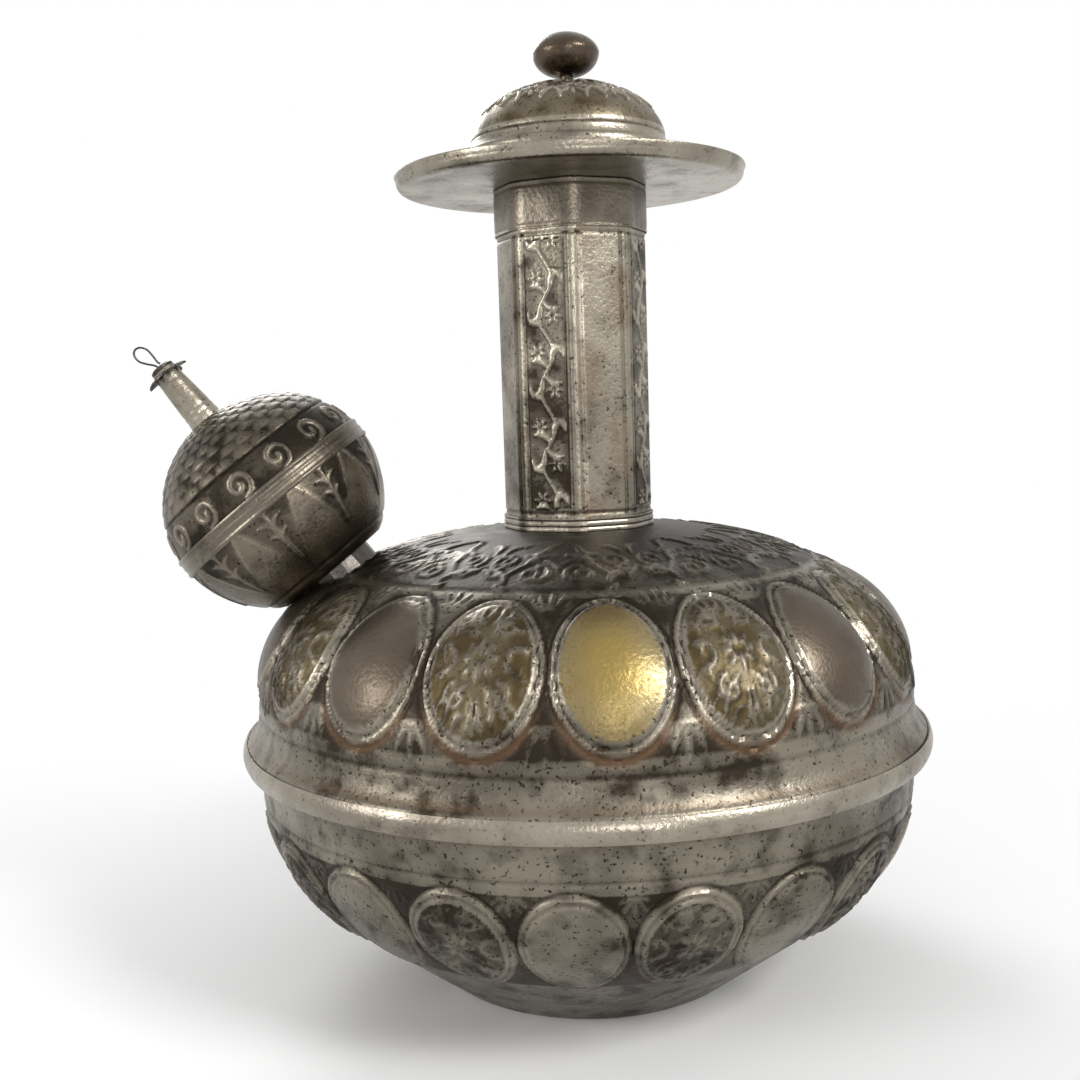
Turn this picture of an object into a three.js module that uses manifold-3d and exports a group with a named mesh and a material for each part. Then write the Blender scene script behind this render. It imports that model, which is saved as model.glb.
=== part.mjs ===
// A lidded water pot of silvered sheet copper, raised in two halves and joined by a girdle band.
// It is held by its eight-sided neck and poured through a bulb-shaped spout with a narrow tube.
// Millimetres, +Z up. The origin is the centre of the flat base. The spout points along -X, and
// the middle of the gilded oval boss on the front of the shoulder faces -Y.
import * as THREE from "three";
import { mergeVertices } from "three/addons/utils/BufferGeometryUtils.js";
import Module from "manifold-3d";

const wasm = await Module();
wasm.setup();

// Sheet and fits
const SHEET = 1.0; // wall of the raised shells
const THIN_SHEET = 0.8; // wall of the knob and the spout tube
const COLLAR_SHEET = 0.5; // wall of the two neck collars
const SOLDER_GAP = 0.25; // between pieces that are soldered to each other
const SEAT_GAP = 0.3; // under the lid and under the stopper's head
const LIFT_PLAY = 0.4; // radial play of the lid in the mouth and of the stopper in the tube

// Lower bowl
const BASE_RADIUS = 48.8;
const BASE_FLANGE = 2.5; // turned-in edge that the base plate is let into
const CONE_HEIGHT = 23.5; // plain cone from the base up to the medallions
const BODY_RADIUS = 102.3;
const BOWL_DEPTH = 66; // height at which the bowl is widest
const LOWER_LOBES = 20;
const LOWER_LOBE_TURN = -7; // degrees from the front to the middle of the first medallion
const LOWER_LOBE_RISE = 1.8;
const LOWER_LOBE_TOP = 57.5;

// Girdle
const SEAM_FLARE = 3.7; // how far both halves flare out to the seam
const SEAM_BOTTOM = 72.3;
const GIRDLE_HEIGHT = 6.2;
const GIRDLE_RISE = 1.7; // how far the band stands out from the seam
const FLARE_HEIGHT = 10.5; // height of each half's flare

// Shoulder
const SHOULDER_START = 84; // height at which the upper shell is widest
const SHOULDER_RISE = 56.7; // from there to the top of the shoulder
const SHOULDER_POWER = 2.5; // superellipse exponent of the shoulder's outline
const UPPER_LOBES = 18;
const UPPER_LOBE_RISE = 2.4;
const UPPER_LOBE_BOTTOM = 93;
const UPPER_LOBE_TOP = 127.5;
const NECK_LAND_RADIUS = 26; // flat land that the neck stands on

// Neck
const NECK_APOTHEM = 22.0; // from the axis to the middle of a flat side
const NECK_CORNER_RADIUS = 10;
const NECK_LENGTH = 103.8;
const NECK_TURN = -4; // degrees from the front to one corner of the neck
const BASE_COLLAR_HEIGHT = 4.0;
const TOP_COLLAR_HEIGHT = 13.8;

// Mouth
const MOUTH_RADIUS = 20.4;
const BRIM_RADIUS = 53.9;
const BRIM_SHEET = 1.2;
const BRIM_RIM_HEIGHT = 4.1; // from the underside to the top of the turned-up rim
const BRIM_BEND = 2.9; // radius of the bend into the rim

// Lid
const LID_RADIUS = 37;
const LID_EDGE_HEIGHT = 1.4;
const LID_BEAD_HEIGHT = 10.2; // from the brim to the top of the round moulding
const LID_BEAD_RADIUS = 33;
const DOME_RADIUS = 30;
const DOME_START = 12; // from the brim to where the dome begins
const DOME_RISE = 18.1;
const RING_PLAY = 0.9; // between the base ring and the lid's drawn-in edge
const BEZEL_DEPTH = 12.6; // how far the lid's tube reaches down into the neck
const STEM_RADIUS = 2.0;
const WASHER_RADIUS = 6;
const KNOB_RADIUS = 10.3;
const KNOB_STANDOFF = 2.6; // from the dome's top to the bottom of the knob
const KNOB_CUP_HEIGHT = 6.6;
const KNOB_CAP_HEIGHT = 6.2;

// Spout
const SPOUT_TILT = 52; // degrees above the horizontal
const SPOUT_ROOT_HEIGHT = 127.5; // where the spout's axis leaves the shoulder
const ROOT_RADIUS = 13; // short tube between the body and the bulb
const ROOT_INSIDE = 6;
const BULB_GAP = 2.4; // from the shoulder to the bulb's flat back, on the axis
const BULB_RADIUS = 34.4;
const BULB_BACK = 28.6; // from the bulb's middle to its flat back
const BULB_FRONT = 31.5; // from the bulb's middle to the top of its front half
const BULB_BAND_WIDTH = 6;
const BULB_BAND_RISE = 1.0;
const TUBE_BASE_RADIUS = 5.3;
const TUBE_TIP_RADIUS = 3.9;
const TUBE_LENGTH = 21;
const TUBE_INSIDE = 2.5;
const PETALS = 6;
const PETAL_RADIUS = 7.2;
const PETAL_THICKNESS = 0.6;
const PETAL_BEND = 0.9; // how far a petal's end bends back towards the bulb
const PETAL_SETBACK = 1.0; // from the end of the tube to the petals
const PLUG_LENGTH = 8;
const PLUG_HEAD = 1.1;
const LOOP_WIRE = 0.35; // radius
const LOOP_LENGTH = 8.6;
const LOOP_WIDTH = 4.4;
const LOOP_LEAN = 18; // degrees that the loop leans out from the tube's axis
const LOOP_FEET = 1.3; // between the two ends of the wire

// Facets around each kind of round piece
const UPPER_FACETS = 3 * UPPER_LOBES;
const LOWER_FACETS = 3 * LOWER_LOBES;
const BAND_FACETS = 54;
const BRIM_FACETS = 40;
const BULB_FACETS = 28;
const SMALL_FACETS = 18;

const SEAM_RADIUS = BODY_RADIUS + SEAM_FLARE;
const radians = THREE.MathUtils.degToRad;
const point = (r, z) => new THREE.Vector2(r, z);

// Colours of the aged plate, the gilding and the bare wire
const silver = new THREE.MeshStandardMaterial({ color: 0x9a958a, roughness: 0.38, metalness: 1 });
const darkSilver = new THREE.MeshStandardMaterial({ color: 0x6d675c, roughness: 0.45, metalness: 1 });
const brownPlate = new THREE.MeshStandardMaterial({ color: 0x5a4a3c, roughness: 0.4, metalness: 1 });
const wireMetal = new THREE.MeshStandardMaterial({ color: 0x4c4a46, roughness: 0.5, metalness: 1 });

// Points of a quarter-turn-like bend from a to b with its corner at c, both ends included.
function bend(a, c, b, steps) {
  return new THREE.QuadraticBezierCurve(a, c, b).getPoints(steps);
}

// The outline moved by distance towards its left, which is the inside of one drawn upwards.
function inset(outline, distance) {
  return outline.map((p, i) => {
    const before = outline[Math.max(i - 1, 0)];
    const after = outline[Math.min(i + 1, outline.length - 1)];
    const along = after.clone().sub(before).normalize();
    return point(p.x - along.y * distance, p.y + along.x * distance);
  });
}

// A turned solid. The outline runs up the outside and down the inside, and starts and ends on
// the axis or closes on itself. Turn is in degrees from the front.
function turned(outline, facets, turn = 0) {
  const onAxis = outline[0].x === 0;
  const loop = onAxis ? outline : [...outline, outline[0].clone()];
  return new THREE.LatheGeometry(loop, facets, radians(turn)).rotateX(Math.PI / 2);
}

// A turned shell of even wall: the outer outline, and the same line moved inwards.
function turnedShell(outer, wall, facets, turn = 0) {
  return turned([...outer, ...inset(outer, wall).reverse()], facets, turn);
}

function closedGeometry(geometry) {
  const plain = geometry.clone();
  plain.deleteAttribute("normal");
  plain.deleteAttribute("uv");
  return mergeVertices(plain, 1e-4);
}

function solidOf(geometry) {
  const plain = closedGeometry(geometry);
  return new wasm.Manifold(
    new wasm.Mesh({
      numProp: 3,
      vertProperties: plain.attributes.position.array,
      triVerts: new Uint32Array(plain.index.array),
    }),
  );
}

function geometryOf(solid) {
  const mesh = solid.getMesh();
  const geometry = new THREE.BufferGeometry();
  geometry.setAttribute("position", new THREE.BufferAttribute(mesh.vertProperties, 3));
  geometry.setIndex(new THREE.BufferAttribute(mesh.triVerts, 1));
  return geometry;
}

// Presses a ring of oval bosses out of a turned shell. Around the axis a boss rises as a raised
// cosine, and up the wall as the root of a sine between its bottom and top.
function pressBosses(geometry, { count, turn, bottom, top, rise, radiusAt }) {
  const position = geometry.attributes.position;
  const p = new THREE.Vector3();
  for (let i = 0; i < position.count; i++) {
    p.fromBufferAttribute(position, i);
    const radius = Math.hypot(p.x, p.y);
    const share = (p.z - bottom) / (top - bottom);
    if (share <= 0 || share >= 1) continue;
    const azimuth = Math.atan2(p.x, -p.y) - radians(turn);
    const across = (1 + Math.cos(azimuth * count)) / 2;
    const height = rise * Math.pow(across, 0.6) * Math.sqrt(Math.sin(Math.PI * share));
    const slope = (radiusAt(p.z + 0.5) - radiusAt(p.z - 0.5)) / 1.0;
    const normal = new THREE.Vector3(p.x / radius, p.y / radius, -slope).normalize();
    p.addScaledVector(normal, height);
    position.setXYZ(i, p.x, p.y, p.z);
  }
  return geometry;
}

function mesh(name, geometry, material) {
  const made = new THREE.Mesh(geometry, material);
  made.name = name;
  return made;
}

// Radius of the lower bowl's ellipse at a height above the cone.
function bowlRadius(z) {
  const drop = (BOWL_DEPTH - z) / BOWL_DEPTH;
  return BODY_RADIUS * Math.sqrt(Math.max(0, 1 - drop * drop));
}

// Radius of the shoulder's superellipse at a height.
function shoulderRadius(z) {
  const rise = THREE.MathUtils.clamp((z - SHOULDER_START) / SHOULDER_RISE, 0, 1);
  return BODY_RADIUS * Math.pow(1 - Math.pow(rise, SHOULDER_POWER), 1 / SHOULDER_POWER);
}

// Height of the shoulder's superellipse at a radius.
function shoulderHeight(r) {
  const share = Math.pow(1 - Math.pow(r / BODY_RADIUS, SHOULDER_POWER), 1 / SHOULDER_POWER);
  return SHOULDER_START + SHOULDER_RISE * share;
}

const LAP_RADIUS = SEAM_RADIUS - SHEET - SOLDER_GAP; // outside of the bowl's edge in the seam
const LAP_TOP = SEAM_BOTTOM + GIRDLE_HEIGHT - 1.0;
const SKIRT_BOTTOM = SEAM_BOTTOM + SOLDER_GAP;
const BOWL_FLARE_START = SEAM_BOTTOM - FLARE_HEIGHT;
const SHOULDER_FLARE_TOP = SEAM_BOTTOM + GIRDLE_HEIGHT + FLARE_HEIGHT;

function basePlate() {
  const radius = BASE_RADIUS - BASE_FLANGE - SOLDER_GAP;
  const outline = [point(0, 0), point(radius, 0), point(radius, SHEET), point(0, SHEET)];
  return turned(outline, LOWER_FACETS, LOWER_LOBE_TURN);
}

function lowerBowl() {
  const steps = 6;
  const wall = [];
  for (let i = 0; i <= steps; i++) {
    const z = THREE.MathUtils.lerp(CONE_HEIGHT, BOWL_FLARE_START, i / steps);
    wall.push(point(bowlRadius(z), z));
  }
  const flareFoot = wall.pop();
  const flare = bend(flareFoot, point(flareFoot.x, SEAM_BOTTOM - 3), point(LAP_RADIUS, SEAM_BOTTOM), 2);
  const outer = [
    point(BASE_RADIUS - BASE_FLANGE, 0),
    point(BASE_RADIUS, 0),
    ...wall,
    ...flare,
    point(LAP_RADIUS, LAP_TOP),
  ];
  const shell = turnedShell(outer, SHEET, LOWER_FACETS, LOWER_LOBE_TURN);
  return pressBosses(shell, {
    count: LOWER_LOBES,
    turn: LOWER_LOBE_TURN,
    bottom: CONE_HEIGHT,
    top: LOWER_LOBE_TOP,
    rise: LOWER_LOBE_RISE,
    radiusAt: bowlRadius,
  });
}

function girdleBand() {
  const inside = SEAM_RADIUS + SOLDER_GAP;
  const top = SEAM_BOTTOM + GIRDLE_HEIGHT;
  const edge = inside + 0.5;
  const crown = SEAM_RADIUS + GIRDLE_RISE * 2 - 0.5; // control point that puts the middle at the rise
  const face = bend(point(edge, SEAM_BOTTOM), point(crown, (SEAM_BOTTOM + top) / 2), point(edge, top), 4);
  return turned([point(inside, SEAM_BOTTOM), ...face, point(inside, top)], BAND_FACETS);
}

// The hollow way of the spout, from the shoulder's surface outwards along +Z.
const spoutDirection = new THREE.Vector3(-Math.cos(radians(SPOUT_TILT)), 0, Math.sin(radians(SPOUT_TILT)));
const spoutRoot = new THREE.Vector3(-shoulderRadius(SPOUT_ROOT_HEIGHT), 0, SPOUT_ROOT_HEIGHT);
const bulbMiddle = spoutRoot.clone().addScaledVector(spoutDirection, BULB_GAP + BULB_BACK);
const spoutTurn = new THREE.Quaternion().setFromUnitVectors(new THREE.Vector3(0, 0, 1), spoutDirection);

function upperShell() {
  const steps = 8;
  const flareTop = point(shoulderRadius(SHOULDER_FLARE_TOP), SHOULDER_FLARE_TOP);
  const skirtTop = point(SEAM_RADIUS, SEAM_BOTTOM + GIRDLE_HEIGHT);
  const flare = bend(skirtTop, point(flareTop.x, skirtTop.y + 3), flareTop, 2);
  const wall = [];
  const firstAngle = Math.asin(
    Math.pow((SHOULDER_FLARE_TOP - SHOULDER_START) / SHOULDER_RISE, SHOULDER_POWER / 2),
  );
  const lastAngle = Math.acos(Math.pow(NECK_LAND_RADIUS / BODY_RADIUS, SHOULDER_POWER / 2));
  for (let i = 1; i <= steps; i++) {
    const angle = THREE.MathUtils.lerp(firstAngle, lastAngle, i / steps);
    const share = Math.pow(Math.sin(angle), 2 / SHOULDER_POWER);
    const z = SHOULDER_START + SHOULDER_RISE * share;
    wall.push(point(shoulderRadius(z), z));
  }
  const land = shoulderHeight(NECK_LAND_RADIUS);
  const outer = [point(SEAM_RADIUS, SKIRT_BOTTOM), ...flare, ...wall, point(MOUTH_RADIUS, land)];
  const shell = pressBosses(turnedShell(outer, SHEET, UPPER_FACETS), {
    count: UPPER_LOBES,
    turn: 0,
    bottom: UPPER_LOBE_BOTTOM,
    top: UPPER_LOBE_TOP,
    rise: UPPER_LOBE_RISE,
    radiusAt: shoulderRadius,
  });
  const length = 2 * (ROOT_INSIDE + BULB_GAP + 10);
  const drill = new THREE.CylinderGeometry(
    ROOT_RADIUS + SOLDER_GAP,
    ROOT_RADIUS + SOLDER_GAP,
    length,
    SMALL_FACETS,
  );
  drill.rotateX(Math.PI / 2).applyQuaternion(spoutTurn).translate(...spoutRoot.toArray());
  return geometryOf(solidOf(shell).subtract(solidOf(drill)));
}

// An eight-sided ring with rounded corners, as wide as the neck plus grow on every side.
function octagon(grow, ShapeClass) {
  const apothem = NECK_APOTHEM + grow;
  const corner = NECK_CORNER_RADIUS + grow;
  const reach = (apothem - corner) / Math.cos(Math.PI / 8);
  const path = new ShapeClass();
  for (let i = 0; i < 8; i++) {
    const middle = radians(NECK_TURN - 90) + (i * Math.PI) / 4;
    const x = reach * Math.cos(middle);
    const y = reach * Math.sin(middle);
    path.absarc(x, y, corner, middle - Math.PI / 8, middle + Math.PI / 8, false);
  }
  return path;
}

function octagonTube(outsideGrow, insideGrow, bottom, height) {
  const shape = octagon(outsideGrow, THREE.Shape);
  shape.holes.push(octagon(insideGrow, THREE.Path));
  const options = { depth: height, bevelEnabled: false, curveSegments: 2 };
  return new THREE.ExtrudeGeometry(shape, options).translate(0, 0, bottom);
}

const NECK_BOTTOM = shoulderHeight(NECK_LAND_RADIUS) + SOLDER_GAP;
const NECK_TOP = NECK_BOTTOM + NECK_LENGTH;
const COLLAR_INSIDE = SOLDER_GAP - 0.1;
const BRIM_BOTTOM = NECK_TOP + SOLDER_GAP;
const BRIM_TOP = BRIM_BOTTOM + BRIM_SHEET;

function neckTube() {
  return octagonTube(0, -SHEET, NECK_BOTTOM, NECK_LENGTH);
}

function neckCollar(bottom, height) {
  return octagonTube(COLLAR_INSIDE + COLLAR_SHEET, COLLAR_INSIDE, bottom, height);
}

function brim() {
  const corner = BRIM_RADIUS - 0.5;
  const rimTop = BRIM_BOTTOM + BRIM_RIM_HEIGHT;
  const outer = [
    point(MOUTH_RADIUS, BRIM_BOTTOM),
    ...bend(
      point(corner - BRIM_BEND, BRIM_BOTTOM),
      point(corner, BRIM_BOTTOM),
      point(corner, BRIM_BOTTOM + BRIM_BEND),
      3,
    ),
    point(BRIM_RADIUS, rimTop),
  ];
  return turnedShell(outer, BRIM_SHEET, BRIM_FACETS);
}

// The lid is measured up from the brim's upper face, at rest.
const LID_BOTTOM = BRIM_TOP + SEAT_GAP;
const LID_INSIDE = LID_RADIUS - SHEET;
const BEZEL_RADIUS = MOUTH_RADIUS - LIFT_PLAY;
const DOME_TOP = BRIM_TOP + DOME_START + DOME_RISE;

function domeHeight(r) {
  return BRIM_TOP + DOME_START + DOME_RISE * Math.sqrt(1 - Math.pow(r / DOME_RADIUS, 2));
}

function lidDome() {
  const edgeTop = LID_BOTTOM + LID_EDGE_HEIGHT;
  const beadBottom = point(LID_BEAD_RADIUS, edgeTop + 4.2);
  const beadTop = point(DOME_RADIUS + 1, BRIM_TOP + LID_BEAD_HEIGHT);
  const stemHole = STEM_RADIUS + SOLDER_GAP;
  const steps = 5;
  const dome = [];
  for (let i = 0; i <= steps; i++) {
    const angle = (i / steps) * Math.acos(stemHole / DOME_RADIUS);
    const r = DOME_RADIUS * Math.cos(angle);
    dome.push(point(r, i === 0 ? BRIM_TOP + DOME_START : domeHeight(r)));
  }
  const outer = [
    point(LID_RADIUS, LID_BOTTOM),
    ...bend(point(LID_RADIUS, edgeTop), point(beadBottom.x, edgeTop), beadBottom, 2),
    ...bend(beadBottom, point(LID_BEAD_RADIUS + 1, beadTop.y), beadTop, 2).slice(1),
    ...dome,
  ];
  return turnedShell(outer, SHEET, BRIM_FACETS);
}

function lidBaseRing() {
  const inside = BEZEL_RADIUS + SOLDER_GAP;
  const outside = LID_INSIDE - RING_PLAY;
  const top = LID_BOTTOM + SHEET;
  const outline = [point(inside, LID_BOTTOM), point(outside, LID_BOTTOM), point(outside, top), point(inside, top)];
  return turned(outline, BRIM_FACETS);
}

function lidBezel() {
  const outer = [point(BEZEL_RADIUS, BRIM_TOP - BEZEL_DEPTH), point(BEZEL_RADIUS, LID_BOTTOM + SHEET)];
  return turnedShell(outer, SHEET, BRIM_FACETS);
}

const WASHER_TOP = domeHeight(WASHER_RADIUS) - SHEET - SEAT_GAP;
const KNOB_BOTTOM = DOME_TOP + KNOB_STANDOFF;
const KNOB_SEAM = KNOB_BOTTOM + KNOB_CUP_HEIGHT;
const KNOB_TOP = KNOB_SEAM + KNOB_CAP_HEIGHT;

function knobWasher() {
  const inside = STEM_RADIUS + SOLDER_GAP;
  const bottom = WASHER_TOP - THIN_SHEET;
  const outline = [
    point(inside, bottom),
    point(WASHER_RADIUS, bottom),
    point(WASHER_RADIUS, WASHER_TOP),
    point(inside, WASHER_TOP),
  ];
  return turned(outline, SMALL_FACETS);
}

function knobStem() {
  const headTop = WASHER_TOP - THIN_SHEET - SOLDER_GAP;
  const headRadius = STEM_RADIUS + 1.2;
  const top = KNOB_TOP - THIN_SHEET - SOLDER_GAP;
  const outline = [
    point(0, headTop - 0.9),
    point(headRadius - 0.4, headTop - 0.9),
    point(headRadius, headTop - 0.4),
    point(headRadius, headTop),
    point(STEM_RADIUS, headTop),
    point(STEM_RADIUS, top),
    point(0, top),
  ];
  return turned(outline, SMALL_FACETS);
}

function knobCup() {
  const foot = point(STEM_RADIUS + SOLDER_GAP, KNOB_BOTTOM);
  const neck = point(foot.x + 1.6, KNOB_BOTTOM);
  const rim = point(KNOB_RADIUS, KNOB_SEAM - SOLDER_GAP / 2);
  const bowl = bend(neck, point(KNOB_RADIUS - 0.6, KNOB_BOTTOM + 1.6), rim, 4);
  return turnedShell([foot, ...bowl], THIN_SHEET, SMALL_FACETS);
}

function knobCap() {
  const rim = point(KNOB_RADIUS, KNOB_SEAM + SOLDER_GAP / 2);
  const crown = new THREE.CubicBezierCurve(
    rim,
    point(KNOB_RADIUS - 0.4, KNOB_SEAM + 3.0),
    point(KNOB_RADIUS * 0.55, KNOB_TOP),
    point(0, KNOB_TOP),
  ).getPoints(5);
  const inner = inset(crown, THIN_SHEET).reverse();
  inner[0].set(0, KNOB_TOP - THIN_SHEET);
  inner[inner.length - 1].set(KNOB_RADIUS - THIN_SHEET, rim.y);
  return turned([...inner, ...crown], SMALL_FACETS);
}

// Everything below is in the spout's own frame, with +Z along the spout and zero at the bulb's middle.
const BULB_ROOT = -(BULB_BACK + BULB_GAP);
const TUBE_TIP = BULB_FRONT - 1 + TUBE_LENGTH;

function spoutRootTube() {
  const outer = [point(ROOT_RADIUS, BULB_ROOT - ROOT_INSIDE), point(ROOT_RADIUS, -BULB_BACK + 3)];
  return turnedShell(outer, SHEET, SMALL_FACETS);
}

function bulbBackHalf() {
  const steps = 5;
  const sphereStart = Math.asin((BULB_BACK - 1.2) / BULB_RADIUS);
  const wall = [];
  for (let i = 0; i <= steps; i++) {
    const angle = sphereStart * (1 - i / steps);
    wall.push(point(BULB_RADIUS * Math.cos(angle), -BULB_RADIUS * Math.sin(angle) - SOLDER_GAP / 2));
  }
  const back = -BULB_BACK;
  const outer = [point(ROOT_RADIUS + SOLDER_GAP, back), point(wall[0].x - 2, back), ...wall];
  return turnedShell(outer, SHEET, BULB_FACETS);
}

function bulbBand() {
  const inside = BULB_RADIUS + SOLDER_GAP;
  const outside = BULB_RADIUS + BULB_BAND_RISE;
  const half = BULB_BAND_WIDTH / 2;
  const lip = 1.0; // width of the raised edge on each side of the band's shallow groove
  const outline = [
    point(inside, -half),
    point(outside, -half),
    point(outside, -half + lip),
    point(outside - 0.35, -half + lip + 0.4),
    point(outside - 0.35, half - lip - 0.4),
    point(outside, half - lip),
    point(outside, half),
    point(inside, half),
  ];
  return turned(outline, BULB_FACETS);
}

function bulbFrontHalf() {
  const steps = 6;
  const hole = TUBE_BASE_RADIUS + SOLDER_GAP;
  const wall = [];
  for (let i = 0; i <= steps; i++) {
    const angle = (i / steps) * Math.acos(hole / BULB_RADIUS);
    wall.push(point(BULB_RADIUS * Math.cos(angle), BULB_FRONT * Math.sin(angle) + SOLDER_GAP / 2));
  }
  return turnedShell(wall, SHEET, BULB_FACETS);
}

function spoutTube() {
  const start = BULB_FRONT - SHEET - TUBE_INSIDE;
  const outer = [
    point(TUBE_BASE_RADIUS, start),
    point(TUBE_BASE_RADIUS, BULB_FRONT + 0.5),
    point(TUBE_TIP_RADIUS, TUBE_TIP),
  ];
  const bore = [
    point(TUBE_TIP_RADIUS - THIN_SHEET, TUBE_TIP),
    point(TUBE_BASE_RADIUS - THIN_SHEET, BULB_FRONT + 0.5),
    point(TUBE_BASE_RADIUS - THIN_SHEET, start),
  ];
  return turned([...outer, ...bore], SMALL_FACETS);
}

// A thin collar cut into petals, whose ends bend back towards the bulb.
function tipPetals() {
  const hole = TUBE_TIP_RADIUS + SOLDER_GAP + 0.05;
  const valley = hole + 0.9;
  const cuts = 6 * PETALS;
  const rim = [];
  for (let i = 0; i < cuts; i++) {
    const angle = (i / cuts) * 2 * Math.PI;
    const r = THREE.MathUtils.lerp(valley, PETAL_RADIUS, (1 + Math.cos(angle * PETALS)) / 2);
    rim.push(point(r * Math.cos(angle), r * Math.sin(angle)));
  }
  const shape = new THREE.Shape(rim);
  shape.holes.push(new THREE.Path().absarc(0, 0, hole, 0, 2 * Math.PI, true));
  const options = { depth: PETAL_THICKNESS, bevelEnabled: false, curveSegments: SMALL_FACETS / 2 };
  const geometry = new THREE.ExtrudeGeometry(shape, options);
  const position = geometry.attributes.position;
  for (let i = 0; i < position.count; i++) {
    const reach = (Math.hypot(position.getX(i), position.getY(i)) - hole) / (PETAL_RADIUS - hole);
    position.setZ(i, position.getZ(i) - PETAL_BEND * reach * reach);
  }
  return geometry.translate(0, 0, TUBE_TIP - PETAL_SETBACK - PETAL_THICKNESS);
}

const PLUG_TOP = TUBE_TIP + SEAT_GAP + PLUG_HEAD;

function stopperPlug() {
  const radius = TUBE_TIP_RADIUS - THIN_SHEET - LIFT_PLAY;
  const head = TUBE_TIP_RADIUS - 0.1;
  const headBottom = TUBE_TIP + SEAT_GAP;
  const outline = [
    point(0, TUBE_TIP - PLUG_LENGTH),
    point(radius - 0.5, TUBE_TIP - PLUG_LENGTH),
    point(radius, TUBE_TIP - PLUG_LENGTH + 1.2),
    point(radius, headBottom),
    point(head, headBottom),
    point(head, headBottom + PLUG_HEAD / 2),
    point(head - 0.8, PLUG_TOP),
    point(0, PLUG_TOP),
  ];
  return turned(outline, SMALL_FACETS);
}

// One unbroken wire: up from the plug, round the loop and back, both ends just clear of the plug.
function stopperLoop() {
  const foot = LOOP_FEET / 2;
  const side = LOOP_WIDTH / 2;
  const route = [
    new THREE.Vector3(-foot, 0, 0),
    new THREE.Vector3(-foot, 0, 0.8),
    new THREE.Vector3(-side * 0.75, 0, LOOP_LENGTH * 0.4),
    new THREE.Vector3(-side, 0, LOOP_LENGTH * 0.68),
    new THREE.Vector3(-side * 0.62, 0, LOOP_LENGTH * 0.93),
    new THREE.Vector3(0, 0, LOOP_LENGTH),
    new THREE.Vector3(side * 0.62, 0, LOOP_LENGTH * 0.93),
    new THREE.Vector3(side, 0, LOOP_LENGTH * 0.68),
    new THREE.Vector3(side * 0.75, 0, LOOP_LENGTH * 0.4),
    new THREE.Vector3(foot, 0, 0.8),
    new THREE.Vector3(foot, 0, 0),
  ];
  const section = new THREE.Shape().absarc(0, 0, LOOP_WIRE, 0, 2 * Math.PI);
  const options = {
    steps: 24,
    extrudePath: new THREE.CatmullRomCurve3(route),
    curveSegments: 3,
  };
  const lift = PLUG_TOP + SOLDER_GAP + foot * Math.sin(radians(LOOP_LEAN)) + LOOP_WIRE / 2;
  return new THREE.ExtrudeGeometry(section, options)
    .rotateY(radians(-LOOP_LEAN))
    .translate(0, 0, lift);
}

const pot = new THREE.Group();
pot.add(
  mesh("base_plate", basePlate(), silver),
  mesh("lower_bowl", lowerBowl(), silver),
  mesh("girdle_band", girdleBand(), silver),
  mesh("upper_shell", upperShell(), silver),
  mesh("neck_base_collar", neckCollar(NECK_BOTTOM, BASE_COLLAR_HEIGHT), silver),
  mesh("neck_tube", neckTube(), silver),
  mesh("neck_top_collar", neckCollar(NECK_TOP - TOP_COLLAR_HEIGHT, TOP_COLLAR_HEIGHT), darkSilver),
  mesh("brim", brim(), silver),
);

const lid = new THREE.Group();
lid.add(
  mesh("lid_bezel", lidBezel(), darkSilver),
  mesh("lid_base_ring", lidBaseRing(), darkSilver),
  mesh("lid_dome", lidDome(), silver),
  mesh("knob_washer", knobWasher(), darkSilver),
  mesh("knob_stem", knobStem(), brownPlate),
  mesh("knob_cup", knobCup(), brownPlate),
  mesh("knob_cap", knobCap(), brownPlate),
);

const spout = new THREE.Group();
spout.quaternion.copy(spoutTurn);
spout.position.copy(bulbMiddle);
spout.add(
  mesh("spout_root_tube", spoutRootTube(), darkSilver),
  mesh("bulb_back_half", bulbBackHalf(), silver),
  mesh("bulb_band", bulbBand(), silver),
  mesh("bulb_front_half", bulbFrontHalf(), darkSilver),
  mesh("spout_tube", spoutTube(), silver),
  mesh("tip_petals", tipPetals(), wireMetal),
  mesh("stopper_plug", stopperPlug(), wireMetal),
  mesh("stopper_loop", stopperLoop(), wireMetal),
);

pot.add(lid, spout);

export default pot;
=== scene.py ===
"""Chased and silvered water pot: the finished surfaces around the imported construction."""
import math

import bpy
import numpy as np
from mathutils import Matrix, Vector


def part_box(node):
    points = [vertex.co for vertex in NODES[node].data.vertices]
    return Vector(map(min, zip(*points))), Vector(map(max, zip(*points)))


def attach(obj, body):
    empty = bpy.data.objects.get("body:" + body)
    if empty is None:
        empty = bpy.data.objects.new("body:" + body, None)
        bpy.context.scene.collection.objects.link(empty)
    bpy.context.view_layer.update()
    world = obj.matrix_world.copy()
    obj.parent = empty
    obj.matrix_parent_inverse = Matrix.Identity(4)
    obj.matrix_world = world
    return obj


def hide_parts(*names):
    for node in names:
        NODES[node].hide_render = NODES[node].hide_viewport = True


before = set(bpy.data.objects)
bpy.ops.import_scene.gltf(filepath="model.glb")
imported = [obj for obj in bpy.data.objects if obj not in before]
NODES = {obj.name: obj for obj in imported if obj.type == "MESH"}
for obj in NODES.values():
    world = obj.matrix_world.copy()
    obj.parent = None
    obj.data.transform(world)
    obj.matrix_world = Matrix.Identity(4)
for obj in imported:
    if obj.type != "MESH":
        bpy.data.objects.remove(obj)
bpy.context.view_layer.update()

MM = 0.001

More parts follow.
